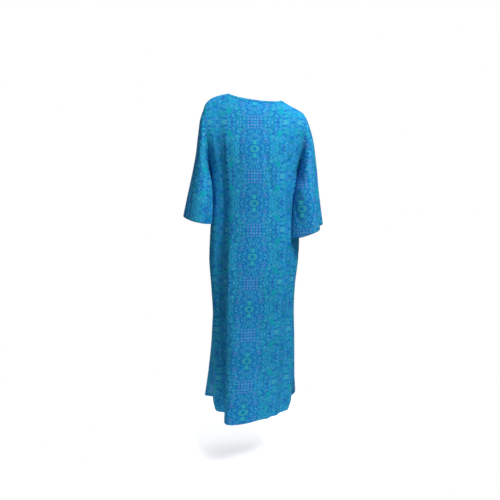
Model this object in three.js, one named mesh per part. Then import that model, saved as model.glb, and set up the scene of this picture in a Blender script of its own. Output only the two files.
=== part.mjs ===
// A loose ankle-length kaftan dress, filled out as it is worn, with nobody in it.
// Cut: one straight back and one straight front, joined at the shoulders and down the sides,
// a bell sleeve set into each straight armhole, a bias strip folded over the neck edge, and
// a short slit with rounded corners at the foot of each side seam.
// Frame: millimetres, +Z up, +Y the way the wearer faces, +X to the wearer's right.
// The origin is between the two shoulders at the base of the neck, where the dress is held up.
import * as THREE from "three";

const CLOTH = 1.5; // thickness of the cloth wall
const SEAM_GAP = 0.3; // between two pieces at a seam
const ARMPIT_Z = -305; // height of the underarm point
const SLIT_Z = -1190; // top of the side slits
const HEM_Z = -1325; // hem of front and back
const HALF_PANEL = 260; // half of a panel's flat width
const NECK_SHARE = 0.427; // half the panel's neck edge as a share of half its width
const ARMHOLE_DEPTH = 60; // how far the armhole opens towards the back and the front
const SLEEVE_CLEARANCE = 7; // between the body's plain form and a sleeve that hangs beside it

// Grid lines of the pieces.
const SHOULDER_COLUMNS = 9; // of a panel, from armhole to neck
const NECK_COLUMNS = 12; // of a panel, across the neck
const COLUMNS = 2 * SHOULDER_COLUMNS + NECK_COLUMNS;
const YOKE_ROWS = 12; // from shoulder to armpit
const SKIRT_ROWS = 20; // from armpit to the top of the slits
const FOOT_ROWS = 5; // from there to the hem
const SLEEVE_ROWS = 16; // from armhole to cuff
const SECTION_SAMPLES = 240; // points along a section when its length is measured

// Sections of the body: how far the plain form reaches each way at that height.
const BODY_SECTIONS = [
  { z: -305, left: -180, right: 176, back: 110, front: 120 },
  { z: -420, left: -179, right: 175, back: 110, front: 116 },
  { z: -560, left: -188, right: 187, back: 114, front: 108 },
  { z: -666, left: -192, right: 184, back: 121, front: 106 },
  { z: -770, left: -184, right: 172, back: 124, front: 109 },
  { z: -880, left: -177, right: 165, back: 125, front: 113 },
  { z: -1000, left: -173, right: 164, back: 127, front: 117 },
  { z: -1150, left: -170, right: 160, back: 129, front: 121 },
  { z: -1325, left: -168, right: 155, back: 131, front: 125 },
];

// The shoulder line seen from behind; it passes over the neck hole at its middle.
const SHOULDER_LINE = [
  { u: -1.0, x: -212, z: -48 },
  { u: -0.86, x: -202, z: -21 },
  { u: -0.72, x: -181, z: 0 },
  { u: -0.56, x: -146, z: 14 },
  { u: -0.4, x: -105, z: 21 },
  { u: 0.0, x: 0, z: 22 },
  { u: 0.4, x: 106, z: -6 },
  { u: 0.56, x: 143, z: -27 },
  { u: 0.72, x: 176, z: -44 },
  { u: 0.86, x: 200, z: -61 },
  { u: 1.0, x: 214, z: -86 },
];

// The neck edge dips from the shoulder line by drop at its middle, and a panel reaches its
// full depth below the shoulder sooner with a smaller rounding.
const BACK = { first: -1, last: 1, facing: -1, drop: 19, rounding: 0.5, corner: 40 };
const FRONT = { first: 3, last: 1, facing: 1, drop: 135, rounding: 0.6, corner: 132 };

// Folds of the body. at and atHem are places round the form in quarter turns: 0 is the middle
// of the back, 1 the right side seam, 2 the middle of the front and -1 the left side seam.
// out is how far the fold stands out at the hem, and less than 0 is a trough. It grows from
// nothing at top, by the power grow, and side is how far its crest leans over to the right.
const BODY_FOLDS = [
  { name: "left back lip", at: -0.36, atHem: -0.27, width: 0.11, top: -140, out: 36, grow: 1.6, side: -0.7 },
  { name: "left back flute", at: -0.18, atHem: -0.17, width: 0.2, top: -300, out: 40, grow: 1.6, side: 0 },
  { name: "left back trough", at: -0.5, atHem: -0.6, width: 0.13, top: 0, out: -26, grow: 0.75, side: 0 },
  { name: "left side band", at: -0.8, atHem: -0.84, width: 0.13, top: -560, out: 8, grow: 0.8, side: 0 },
  { name: "right back hollow", at: 0.52, atHem: 0.54, width: 0.32, top: -380, out: -26, grow: 1.2, side: 0 },
  { name: "right back ripple", at: 0.26, atHem: 0.24, width: 0.08, top: -760, out: 7, grow: 1.1, side: 0 },
  { name: "right middle ripple", at: 0.5, atHem: 0.47, width: 0.08, top: -640, out: 9, grow: 1.0, side: 0.2 },
  { name: "right edge fold", at: 0.82, atHem: 0.86, width: 0.1, top: -640, out: 10, grow: 1.0, side: 0.3 },
  { name: "right side flute", at: 1.1, atHem: 1.08, width: 0.13, top: -700, out: 26, grow: 1.2, side: 0 },
  { name: "right front trough", at: 1.46, atHem: 1.46, width: 0.14, top: -460, out: -20, grow: 0.9, side: 0 },
  { name: "right bust flute", at: 1.7, atHem: 1.74, width: 0.15, top: -280, out: 22, grow: 0.9, side: 0 },
  { name: "front middle trough", at: 1.97, atHem: 1.96, width: 0.16, top: -240, out: -22, grow: 0.8, side: 0 },
  { name: "left bust flute", at: 2.3, atHem: 2.24, width: 0.14, top: -280, out: 26, grow: 0.9, side: 0 },
  { name: "left front trough", at: 2.52, atHem: 2.48, width: 0.13, top: -420, out: -18, grow: 0.8, side: 0 },
  { name: "left front flute", at: 2.74, atHem: 2.73, width: 0.22, top: -840, out: 78, grow: 1.05, side: 0 },
];

// How far the two edges of each slit have swung apart at the hem.
const SLIT_SWINGS = [
  { name: "left slit", at: -1, width: 0.3, backIn: 4, frontOut: 14, frontAhead: 20 },
  { name: "right slit", at: 1, width: 0.2, backIn: 12, frontOut: 8, frontAhead: 4 },
];

// Sections of each sleeve, from the armhole (t = 0) to the cuff (t = 1). A section runs from
// its outer point over the arm to its inner point under the arm, and reaches back and front.
const LEFT_SLEEVE = {
  side: -1,
  sections: [
    { t: 0.0, outX: -212, outY: 0, outZ: -48, inX: -180, inY: 0, inZ: -305, back: 60, front: 60 },
    { t: 0.05, outX: -217, outY: 0, outZ: -62, inX: -186, inY: -2, inZ: -309, back: 62, front: 62 },
    { t: 0.14, outX: -224, outY: 0, outZ: -88, inX: -180, inY: -10, inZ: -322, back: 64, front: 62 },
    { t: 0.28, outX: -231, outY: 0, outZ: -145, inX: -174, inY: -22, inZ: -348, back: 66, front: 62 },
    { t: 0.45, outX: -237, outY: -2, outZ: -208, inX: -170, inY: -32, inZ: -380, back: 67, front: 64 },
    { t: 0.62, outX: -249, outY: -4, outZ: -275, inX: -169, inY: -38, inZ: -416, back: 68, front: 67 },
    { t: 0.8, outX: -266, outY: -6, outZ: -352, inX: -170, inY: -42, inZ: -455, back: 71, front: 70 },
    { t: 1.0, outX: -292, outY: -8, outZ: -472, inX: -172, inY: -44, inZ: -506, back: 76, front: 74 },
  ],
  folds: [
    { name: "back bell fold", at: 0.62, width: 0.16, top: 0.45, out: 12 },
    { name: "back hollow", at: 0.86, width: 0.12, top: 0.25, out: -12 },
    { name: "front bell fold", at: 1.35, width: 0.2, top: 0.4, out: 10 },
    { name: "front hollow", at: 1.65, width: 0.14, top: 0.5, out: -8 },
  ],
};
const RIGHT_SLEEVE = {
  side: 1,
  sections: [
    { t: 0.0, outX: 214, outY: 0, outZ: -86, inX: 176, inY: 0, inZ: -305, back: 60, front: 60 },
    { t: 0.05, outX: 218, outY: 0, outZ: -98, inX: 182, inY: -4, inZ: -309, back: 62, front: 61 },
    { t: 0.14, outX: 225, outY: 0, outZ: -120, inX: 178, inY: -16, inZ: -324, back: 64, front: 60 },
    { t: 0.28, outX: 235, outY: 0, outZ: -162, inX: 168, inY: -36, inZ: -352, back: 67, front: 60 },
    { t: 0.45, outX: 242, outY: 0, outZ: -222, inX: 160, inY: -50, inZ: -392, back: 68, front: 60 },
    { t: 0.62, outX: 248, outY: 2, outZ: -290, inX: 156, inY: -60, inZ: -436, back: 68, front: 62 },
    { t: 0.8, outX: 255, outY: 4, outZ: -385, inX: 154, inY: -66, inZ: -492, back: 70, front: 66 },
    { t: 1.0, outX: 268, outY: 6, outZ: -506, inX: 152, inY: -70, inZ: -562, back: 72, front: 72 },
  ],
  folds: [
    { name: "outer lobe", at: 0.1, width: 0.12, top: 0.5, out: 6 },
    { name: "back crease", at: 0.3, width: 0.08, top: 0.4, out: -16 },
    { name: "back lobe", at: 0.5, width: 0.14, top: 0.3, out: 14 },
    { name: "front bell fold", at: 1.4, width: 0.2, top: 0.4, out: 8 },
    { name: "front hollow", at: 1.7, width: 0.14, top: 0.5, out: -8 },
  ],
};

// The strip that binds the neck edge: how far it rises above the panels' edge, and its thickness.
const BINDING_RISE = 7;
const BINDING_THICKNESS = 3;

const lerp = (a, b, t) => a + (b - a) * t;
const clamp01 = (t) => Math.min(1, Math.max(0, t));
const bell = (d) => Math.exp(-d * d);

function smooth(from, to, value) {
  const t = clamp01((value - from) / (to - from));
  return t * t * (3 - 2 * t);
}

// One column of a table at a place between its rows, on a smooth curve through them.
function tableValue(rows, key, place, column) {
  const forward = rows[rows.length - 1][key] > rows[0][key] ? 1 : -1;
  let i = 0;
  while (i < rows.length - 2 && forward * (place - rows[i + 1][key]) > 0) i += 1;
  const [a, b] = [rows[i], rows[i + 1]];
  const before = rows[Math.max(0, i - 1)];
  const after = rows[Math.min(rows.length - 1, i + 2)];
  const span = b[key] - a[key];
  const startSlope = (b[column] - before[column]) / (b[key] - before[key]);
  const endSlope = (after[column] - a[column]) / (after[key] - a[key]);
  const t = (place - a[key]) / span;
  const [t2, t3] = [t * t, t * t * t];
  return (
    a[column] * (2 * t3 - 3 * t2 + 1) +
    b[column] * (3 * t2 - 2 * t3) +
    span * startSlope * (t3 - 2 * t2 + t) +
    span * endSlope * (t3 - t2)
  );
}

// From one place round the form to another, the shorter way, in quarter turns.
const quarterTurns = (from, to) => ((((to - from) % 4) + 6) % 4) - 2;

// A point of the body's surface, from its place round the form and its height. facing picks
// the back's or the front's edge of an open slit.
function bodyPoint(place, z, facing) {
  const left = tableValue(BODY_SECTIONS, "z", z, "left");
  const right = tableValue(BODY_SECTIONS, "z", z, "right");
  const [s, c] = [Math.sin((place * Math.PI) / 2), Math.cos((place * Math.PI) / 2)];
  const halfWidth = (right - left) / 2;
  const halfDepth = tableValue(BODY_SECTIONS, "z", z, c > 0 ? "back" : "front");
  const out = new THREE.Vector2(s / halfWidth, -c / halfDepth).normalize();
  const along = new THREE.Vector2(-out.y, out.x);
  const spot = new THREE.Vector2((left + right) / 2 + halfWidth * s, -halfDepth * c);
  for (const fold of BODY_FOLDS) {
    const fall = clamp01((fold.top - z) / (fold.top - HEM_Z));
    const distance = quarterTurns(lerp(fold.at, fold.atHem, fall), place);
    const reach = fold.out * fall ** fold.grow * bell(distance / fold.width);
    spot.addScaledVector(out, reach).addScaledVector(along, Math.abs(reach) * fold.side);
  }
  for (const swing of SLIT_SWINGS) {
    const opened = clamp01((SLIT_Z - z) / (SLIT_Z - HEM_Z)) ** 0.9;
    const share = opened * bell(quarterTurns(swing.at, place) / swing.width);
    spot.addScaledVector(out, share * (facing > 0 ? swing.frontOut : -swing.backIn));
    if (facing > 0) spot.addScaledVector(along, share * swing.frontAhead * swing.at);
  }
  return new THREE.Vector3(spot.x, spot.y, z);
}

// The place round the form of the cloth at u across a panel, so that equal steps of u are
// equal lengths of cloth at every height.
const sectionLengths = new Map();
function placeAt(panel, u, z) {
  const key = panel.facing + " " + z;
  const placeOf = (i) => lerp(panel.first, panel.last, i / SECTION_SAMPLES);
  if (!sectionLengths.has(key)) {
    const lengths = [0];
    let last = bodyPoint(panel.first, z, panel.facing);
    for (let i = 1; i <= SECTION_SAMPLES; i += 1) {
      const next = bodyPoint(placeOf(i), z, panel.facing);
      lengths.push(lengths[i - 1] + next.distanceTo(last));
      last = next;
    }
    sectionLengths.set(key, lengths);
  }
  const lengths = sectionLengths.get(key);
  const wanted = ((u + 1) / 2) * lengths[SECTION_SAMPLES];
  let i = 1;
  while (i < SECTION_SAMPLES && lengths[i] < wanted) i += 1;
  return placeOf(i - 1 + (wanted - lengths[i - 1]) / (lengths[i] - lengths[i - 1]));
}

// The height at which a panel's cloth starts: the shoulder seam, or the neck edge.
function topZ(panel, u) {
  const share = Math.abs(u) / NECK_SHARE;
  if (share >= 1) return tableValue(SHOULDER_LINE, "u", u, "z");
  const leftZ = tableValue(SHOULDER_LINE, "u", -NECK_SHARE, "z");
  const rightZ = tableValue(SHOULDER_LINE, "u", NECK_SHARE, "z");
  return lerp(leftZ, rightZ, (u / NECK_SHARE + 1) / 2) - panel.drop * Math.sqrt(1 - share * share);
}

// The height at which it ends: the hem, rounded up to each slit.
function bottomZ(panel, u) {
  const inCorner = Math.max(0, panel.corner - (1 - Math.abs(u)) * HALF_PANEL);
  return HEM_Z + panel.corner - Math.sqrt(panel.corner ** 2 - inCorner ** 2);
}

// How far the armhole's edge stands off the middle plane, from shoulder (0) to armpit (1).
const armholeCurve = (fall) => 2.9 * fall ** 0.5 * (1 - fall) ** 1.3;

// A point above the armpit, where the panel rises over the back or the chest to the shoulder.
function yokePoint(panel, u, z) {
  const lineX = tableValue(SHOULDER_LINE, "u", u, "x");
  const lineZ = tableValue(SHOULDER_LINE, "u", u, "z");
  const fall = clamp01((lineZ - z) / (lineZ - ARMPIT_Z));
  const chest = bodyPoint(placeAt(panel, u, ARMPIT_Z), ARMPIT_Z, panel.facing);
  const depth = chest.y * Math.sin((Math.PI / 2) * fall) ** panel.rounding;
  const edge = panel.facing * ARMHOLE_DEPTH * armholeCurve(fall) * Math.abs(u) ** 3;
  return new THREE.Vector3(lerp(chest.x, lineX, (1 - fall) ** 1.5), depth + edge, z);
}

// A point of a panel: u runs from -1 to 1 across it, and v from 0 at its top to 1 at the
// armpits, 2 at the top of the slits and 3 at the hem.
function panelPoint(panel, u, v) {
  if (v < 1) return yokePoint(panel, u, lerp(topZ(panel, u), ARMPIT_Z, v));
  const z = v < 2 ? lerp(ARMPIT_Z, SLIT_Z, v - 1) : lerp(SLIT_Z, bottomZ(panel, u), v - 2);
  return bodyPoint(placeAt(panel, u, z), z, panel.facing);
}

// The armhole's edge at a place round it: 0 at the shoulder, 1 under the arm after passing
// behind, 2 at the shoulder again after passing in front.
function armholePoint(side, round) {
  return round <= 1 ? panelPoint(BACK, side, round) : panelPoint(FRONT, side, 2 - round);
}

// Moves a sleeve's point out sideways until it is clear of the body that it hangs beside.
function clearOfBody(side, point) {
  const z = Math.min(ARMPIT_Z, point.z);
  const left = tableValue(BODY_SECTIONS, "z", z, "left");
  const right = tableValue(BODY_SECTIONS, "z", z, "right");
  const depth = tableValue(BODY_SECTIONS, "z", z, point.y < 0 ? "back" : "front");
  const across = Math.sqrt(Math.max(0, 1 - (point.y / depth) ** 2));
  const wall = (left + right) / 2 + side * (((right - left) / 2) * across + SLEEVE_CLEARANCE);
  const push = side * (wall - point.x) * smooth(ARMPIT_Z + 70, ARMPIT_Z, point.z);
  if (push > 0) point.x += side * push;
}

// A point of a sleeve: round as at the armhole, t from 0 at the armhole to 1 at the cuff.
function sleevePoint(sleeve, round, t) {
  const value = (column) => tableValue(sleeve.sections, "t", t, column);
  const behind = round <= 1;
  const down = behind ? round : 2 - round;
  const roundness = smooth(0, 0.4, t);
  const share = lerp(down, (1 - Math.cos(Math.PI * down)) / 2, roundness);
  const bulge = lerp(armholeCurve(down), Math.sin(Math.PI * down), roundness);
  const point = new THREE.Vector3(value("outX"), value("outY"), value("outZ"));
  const across = new THREE.Vector3(value("inX"), value("inY"), value("inZ")).sub(point);
  const turn = across.y / across.length();
  const depth = bulge * (behind ? -value("back") : value("front"));
  point.addScaledVector(across, share);
  point.x += depth * turn * sleeve.side;
  point.y += depth * Math.sqrt(1 - turn * turn);
  for (const fold of sleeve.folds) {
    const fall = clamp01((t - fold.top) / (1 - fold.top));
    const reach = fold.out * fall * bell((round - fold.at) / fold.width);
    point.x += sleeve.side * Math.cos(Math.PI * round) * reach;
    point.y -= Math.sin(Math.PI * round) * reach;
  }
  clearOfBody(sleeve.side, point);
  return point.lerp(armholePoint(sleeve.side, round), 1 - smooth(0, 0.035, t));
}

// A grid of points over a surface with the outward normal at each, the mean of the normals
// of the cells round it. A ring's last column is its first one again.
function surfaceGrid(pointAt, across, down, { ring = false, flip = false } = {}) {
  const cells = [];
  for (let j = 0; j <= down; j += 1) {
    for (let i = 0; i <= across; i += 1) cells.push({ point: pointAt(i, j), normal: new THREE.Vector3() });
  }
  const cell = (i, j) => cells[j * (across + 1) + i];
  for (let j = 0; j < down; j += 1) {
    for (let i = 0; i < across; i += 1) {
      const corners = [cell(i, j), cell(i + 1, j), cell(i + 1, j + 1), cell(i, j + 1)];
      const [a, b, c, d] = corners.map(({ point }) => point);
      const square = d.clone().sub(b).cross(c.clone().sub(a)).multiplyScalar(flip ? -1 : 1);
      for (const { normal } of corners) normal.add(square);
    }
  }
  for (let j = 0; j <= down && ring; j += 1) {
    const both = cell(0, j).normal.clone().add(cell(across, j).normal);
    for (const { normal } of [cell(0, j), cell(across, j)]) normal.copy(both);
  }
  for (const { normal } of cells) normal.normalize();
  return { cell, across, down, ring, flip };
}

// Turns the rims of two pieces that meet at a seam into the plane halfway between them.
function mitre(a, b) {
  const middle = a.normal.clone().normalize().add(b.normal.clone().normalize()).normalize();
  const stretch = 1 / middle.dot(a.normal.clone().normalize());
  for (const cell of [a, b]) cell.normal.copy(middle).multiplyScalar(Math.min(2, stretch));
}

// Draws an edge of a piece back by half the seam's gap, square to the seam. line lists the
// cells of the edge in order, and beside the cells next to them.
function drawBack(line, beside) {
  const steps = line.map((cell, k) => {
    const from = line[Math.max(0, k - 1)].point;
    const along = line[Math.min(line.length - 1, k + 1)].point.clone().sub(from).normalize();
    const way = beside[k].point.clone().sub(cell.point);
    way.addScaledVector(along, -way.dot(along)).normalize();
    return way.multiplyScalar(SEAM_GAP / 2);
  });
  line.forEach((cell, k) => cell.point.add(steps[k]));
}

// Gives a surface its thickness, half to each side, and closes its rims. Rims that meet at a
// seam are cut into triangles the same way, so that the front half of a ring's is turned.
function wallGeometry({ cell, across, down, ring, flip }) {
  const columns = ring ? across : across + 1;
  const rows = down + 1;
  const positions = [];
  for (const side of [1, -1]) {
    for (let j = 0; j < rows; j += 1) {
      for (let i = 0; i < columns; i += 1) {
        const { point, normal } = cell(i, j);
        positions.push(...point.clone().addScaledVector(normal, (side * CLOTH) / 2).toArray());
      }
    }
  }
  const outer = (i, j) => j * columns + (i % columns);
  const inner = (i, j) => outer(i, j) + columns * rows;
  const faces = [];
  const quad = (a, b, c, d) => faces.push(...(flip ? [a, c, b, a, d, c] : [a, b, c, a, c, d]));
  for (let j = 0; j < down; j += 1) {
    for (let i = 0; i < across; i += 1) {
      quad(outer(i, j), outer(i, j + 1), outer(i + 1, j + 1), outer(i + 1, j));
      quad(inner(i, j), inner(i + 1, j), inner(i + 1, j + 1), inner(i, j + 1));
    }
  }
  for (let i = 0; i < across; i += 1) {
    const top = [outer(i, 0), outer(i + 1, 0), inner(i + 1, 0), inner(i, 0)];
    quad(...(ring && i >= across / 2 ? [...top.slice(1), top[0]] : top));
    quad(outer(i + 1, down), outer(i, down), inner(i, down), inner(i + 1, down));
  }
  for (let j = 0; j < down && !ring; j += 1) {
    quad(outer(0, j), inner(0, j), inner(0, j + 1), outer(0, j + 1));
    quad(outer(across, j), outer(across, j + 1), inner(across, j + 1), inner(across, j));
  }
  return closedGeometry(positions, faces);
}

function closedGeometry(positions, faces) {
  const geometry = new THREE.BufferGeometry();
  geometry.setAttribute("position", new THREE.Float32BufferAttribute(positions, 3));
  geometry.setIndex(faces);
  geometry.computeVertexNormals();
  return geometry;
}

// Column number to u: closer together at the two ends of the neck, where its edge is steep.
function columnU(i, v) {
  const even = -1 + (2 * i) / COLUMNS;
  const inNeck = (i - SHOULDER_COLUMNS) / NECK_COLUMNS;
  if (inNeck < 0) return lerp(lerp(-1, -NECK_SHARE, i / SHOULDER_COLUMNS), even, smooth(0, 1, v));
  if (inNeck > 1) return -columnU(COLUMNS - i, v);
  return lerp(NECK_SHARE * Math.sin(Math.PI * (inNeck - 0.5)), even, smooth(0, 1, v));
}

// Row number to v: the rows below the shoulder are closer together.
function rowV(j) {
  if (j <= YOKE_ROWS) return (j / YOKE_ROWS) ** 1.35;
  if (j <= YOKE_ROWS + SKIRT_ROWS) return 1 + (j - YOKE_ROWS) / SKIRT_ROWS;
  return 2 + (j - YOKE_ROWS - SKIRT_ROWS) / FOOT_ROWS;
}

function panelSurface(panel) {
  const pointAt = (i, j) => panelPoint(panel, columnU(i, rowV(j)), rowV(j));
  const rows = YOKE_ROWS + SKIRT_ROWS + FOOT_ROWS;
  return surfaceGrid(pointAt, COLUMNS, rows, { flip: panel.facing > 0 });
}

// The columns of a sleeve start at the rows of the armhole and spread out evenly below it.
function sleeveSurface(sleeve) {
  const around = 2 * YOKE_ROWS;
  const pointAt = (i, j) => {
    const t = (j / SLEEVE_ROWS) ** 1.3;
    const atArmhole = i <= YOKE_ROWS ? rowV(i) : 2 - rowV(around - i);
    return sleevePoint(sleeve, lerp(atArmhole, (2 * i) / around, smooth(0, 0.4, t)), t);
  };
  return surfaceGrid(pointAt, around, SLEEVE_ROWS, { ring: true, flip: sleeve.side > 0 });
}

const back = panelSurface(BACK);
const front = panelSurface(FRONT);
const sleeves = [sleeveSurface(LEFT_SLEEVE), sleeveSurface(RIGHT_SLEEVE)];

// The seams: shoulders, sides and armholes.
const range = (from, to) => Array.from({ length: to - from + 1 }, (_, k) => from + k);
const seamRows = YOKE_ROWS + SKIRT_ROWS;
const shoulders = [range(0, SHOULDER_COLUMNS), range(COLUMNS - SHOULDER_COLUMNS, COLUMNS)];
for (const i of shoulders.flat()) mitre(back.cell(i, 0), front.cell(i, 0));
for (const edge of [0, COLUMNS]) {
  for (const j of range(1, seamRows)) mitre(back.cell(edge, j), front.cell(edge, j));
}
sleeves.forEach((sleeve, index) => {
  const edge = index * COLUMNS;
  for (const i of range(1, sleeve.across - 1)) {
    if (i < YOKE_ROWS) mitre(back.cell(edge, i), sleeve.cell(i, 0));
    if (i > YOKE_ROWS) mitre(front.cell(edge, sleeve.across - i), sleeve.cell(i, 0));
  }
  for (const row of [0, YOKE_ROWS]) {
    mitre(back.cell(edge, row), sleeve.cell(row, 0));
    front.cell(edge, row).normal.copy(back.cell(edge, row).normal);
  }
  sleeve.cell(sleeve.across, 0).normal.copy(sleeve.cell(0, 0).normal);
  const ring = range(0, sleeve.across);
  drawBack(ring.map((i) => sleeve.cell(i, 0)), ring.map((i) => sleeve.cell(i, 1)));
  sleeve.cell(sleeve.across, 0).point.copy(sleeve.cell(0, 0).point);
});
for (const panel of [back, front]) {
  for (const columns of shoulders) {
    drawBack(columns.map((i) => panel.cell(i, 0)), columns.map((i) => panel.cell(i, 1)));
  }
  for (const [edge, beside] of [[0, 1], [COLUMNS, COLUMNS - 1]]) {
    const rows = range(0, panel.down);
    drawBack(rows.map((j) => panel.cell(edge, j)), rows.map((j) => panel.cell(beside, j)));
  }
}

// The neck binding: a ring that stands on the panels' neck edge and carries on their surface.
function bindingGeometry() {
  const last = COLUMNS - SHOULDER_COLUMNS;
  const stations = [];
  for (let i = SHOULDER_COLUMNS; i < last; i += 1) stations.push([back, i]);
  for (let i = last; i > SHOULDER_COLUMNS; i -= 1) stations.push([front, i]);
  const section = [
    [0.5, SEAM_GAP],
    [0.5, BINDING_RISE - 0.8],
    [0.2, BINDING_RISE],
    [-0.2, BINDING_RISE],
    [-0.5, BINDING_RISE - 0.8],
    [-0.5, SEAM_GAP],
  ];
  const positions = [];
  stations.forEach(([panel, i], index) => {
    const pointOf = ([p, k]) => p.cell(k, 0).point;
    const next = pointOf(stations[(index + 1) % stations.length]);
    const previous = pointOf(stations[(index + stations.length - 1) % stations.length]);
    const { point, normal } = panel.cell(i, 0);
    const along = next.clone().sub(previous).normalize();
    const outward = normal.clone().addScaledVector(along, -normal.dot(along)).normalize();
    const up = outward.clone().cross(along).normalize();
    for (const [share, rise] of section) {
      const corner = point.clone().addScaledVector(outward, share * BINDING_THICKNESS);
      positions.push(...corner.addScaledVector(up, rise).toArray());
    }
  });
  const faces = [];
  const corner = (ring, k) => (ring % stations.length) * section.length + (k % section.length);
  for (let ring = 0; ring < stations.length; ring += 1) {
    for (let k = 0; k < section.length; k += 1) {
      const [a, b] = [corner(ring, k), corner(ring, k + 1)];
      const [c, d] = [corner(ring + 1, k + 1), corner(ring + 1, k)];
      const foot = k === section.length - 1 && ring < NECK_COLUMNS;
      faces.push(...(foot ? [a, d, b, b, d, c] : [a, c, b, a, d, c]));
    }
  }
  return closedGeometry(positions, faces);
}

const printedCotton = new THREE.MeshStandardMaterial({ color: 0x1b7fbe, roughness: 0.85, name: "printed_cotton" });

const dress = new THREE.Group();
for (const [name, geometry] of [
  ["back_panel", wallGeometry(back)],
  ["front_panel", wallGeometry(front)],
  ["left_sleeve", wallGeometry(sleeves[0])],
  ["right_sleeve", wallGeometry(sleeves[1])],
  ["neck_binding", bindingGeometry()],
]) {
  const mesh = new THREE.Mesh(geometry, printedCotton);
  mesh.name = name;
  dress.add(mesh);
}

export default dress;
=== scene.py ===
import math

import bmesh
import bpy
import numpy as np
from mathutils import Matrix, Vector


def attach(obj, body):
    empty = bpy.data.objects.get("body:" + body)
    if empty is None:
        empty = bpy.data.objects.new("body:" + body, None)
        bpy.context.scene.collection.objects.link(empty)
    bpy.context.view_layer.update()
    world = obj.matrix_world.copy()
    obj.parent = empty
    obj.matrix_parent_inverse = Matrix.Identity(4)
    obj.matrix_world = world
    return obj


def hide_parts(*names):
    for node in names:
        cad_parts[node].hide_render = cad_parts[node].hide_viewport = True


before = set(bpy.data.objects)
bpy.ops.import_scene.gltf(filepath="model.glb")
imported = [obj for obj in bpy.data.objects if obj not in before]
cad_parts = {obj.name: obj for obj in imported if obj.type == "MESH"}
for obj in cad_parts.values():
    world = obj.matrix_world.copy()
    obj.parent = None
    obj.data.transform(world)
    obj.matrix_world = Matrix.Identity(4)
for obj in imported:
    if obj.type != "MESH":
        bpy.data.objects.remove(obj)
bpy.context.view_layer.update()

# The back and the front of the dress.
# Two straight widths of thin, soft cotton, cut alike but for the deeper neck in front. They are
# sewn together at the shoulders and down both sides, and hang from the shoulders in soft folds.
# Sizes here are in millimetres, as a cutter has them, until the cloth is made.
METRES = 0.001
CLOTH = 0.9  # thickness of the cloth
ARMPIT_Z = -305  # height of the underarm point
SLIT_Z = -1190  # top of the side slits
HEM_Z = -1325
HALF_PANEL = 260  # half of a panel's flat width
NECK_SHARE = 0.427  # half the neck edge, as a share of half the panel's width
ARMHOLE_DEPTH = 60  # how far the armhole opens towards the back and the front
HEM_DEPTH = 12  # of the cloth turned up inside
SHOULDER_COLUMNS = 42
NECK_COLUMNS = 56
COLUMNS = 2 * SHOULDER_COLUMNS + NECK_COLUMNS
YOKE_ROWS = 60  # from shoulder to armpit
SKIRT_ROWS = 176  # from armpit to the top of the slits
FOOT_ROWS = 34  # from there to the hem
ROW_CROWDING = 1.35  # above 1, rows lie closer together at the top of the yoke


def table(columns, *rows):
    return dict(zip(columns.split(), np.array(rows, float).T))


BODY_SECTIONS = table(
    "z left right back front",
    (-305, -180, 176, 110, 120),
    (-420, -179, 175, 110, 116),
    (-560, -188, 187, 114, 108),
    (-666, -192, 184, 121, 106),
    (-770, -184, 172, 124, 109),
    (-880, -177, 165, 125, 113),
    (-1000, -173, 164, 127, 117),
    (-1150, -170, 160, 129, 121),
    (-1325, -168, 155, 131, 125),
)
SHOULDER_LINE = table(
    "u x z",
    (-1.0, -212, -48),
    (-0.86, -202, -21),
    (-0.72, -181, 0),
    (-0.56, -146, 14),
    (-0.4, -105, 21),
    (0.0, 0, 22),
    (0.4, 106, -6),
    (0.56, 143, -27),
    (0.72, 176, -44),
    (0.86, 200, -61),
    (1.0, 214, -86),
)
BACK = {"first": -1, "last": 1, "facing": -1, "drop": 19, "rounding": 0.5, "corner": 40}
FRONT = {"first": 3, "last": 1, "facing": 1, "drop": 135, "rounding": 0.6, "corner": 132}

# The deep folds: their place round the body in quarter turns from the middle of the back, at
# the top and at the hem, their width, the height where they begin, how far they stand out at
# the hem, how fast they grow, and how far their crest leans to the right.
BODY_FOLDS = table(
    "at at_hem width top out grow side",
    (-0.36, -0.27, 0.11, -140, 36, 1.6, -0.7),
    (-0.18, -0.17, 0.2, -300, 40, 1.6, 0),
    (-0.5, -0.6, 0.13, 0, -26, 0.75, 0),
    (-0.8, -0.84, 0.13, -560, 8, 0.8, 0),
    (0.52, 0.54, 0.32, -380, -26, 1.2, 0),
    (0.26, 0.24, 0.08, -760, 7, 1.1, 0),
    (0.5, 0.47, 0.08, -640, 9, 1.0, 0.2),
    (0.82, 0.86, 0.1, -640, 10, 1.0, 0.3),
    (1.1, 1.08, 0.13, -700, 26, 1.2, 0),
    (1.46, 1.46, 0.14, -460, -20, 0.9, 0),
    (1.7, 1.74, 0.15, -280, 22, 0.9, 0),
    (1.97, 1.96, 0.16, -240, -22, 0.8, 0),
    (2.3, 2.24, 0.14, -280, 26, 0.9, 0),
    (2.52, 2.48, 0.13, -420, -18, 0.8, 0),
    (2.74, 2.73, 0.22, -840, 78, 1.05, 0),
)
SLIT_SWINGS = table(
    "at width back_in front_out front_ahead",
    (-1, 0.3, 4, 14, 20),
    (1, 0.2, 12, 8, 4),
)


def lines_of(rows):
    names = list(rows)
    return [dict(zip(names, values)) for values in zip(*rows.values())]


def lerp(a, b, t):
    return a + (b - a) * t


def bell(distance):
    return np.exp(-distance * distance)


def smooth(start, end, value):
    t = np.clip((value - start) / (end - start), 0, 1)
    return t * t * (3 - 2 * t)


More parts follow.
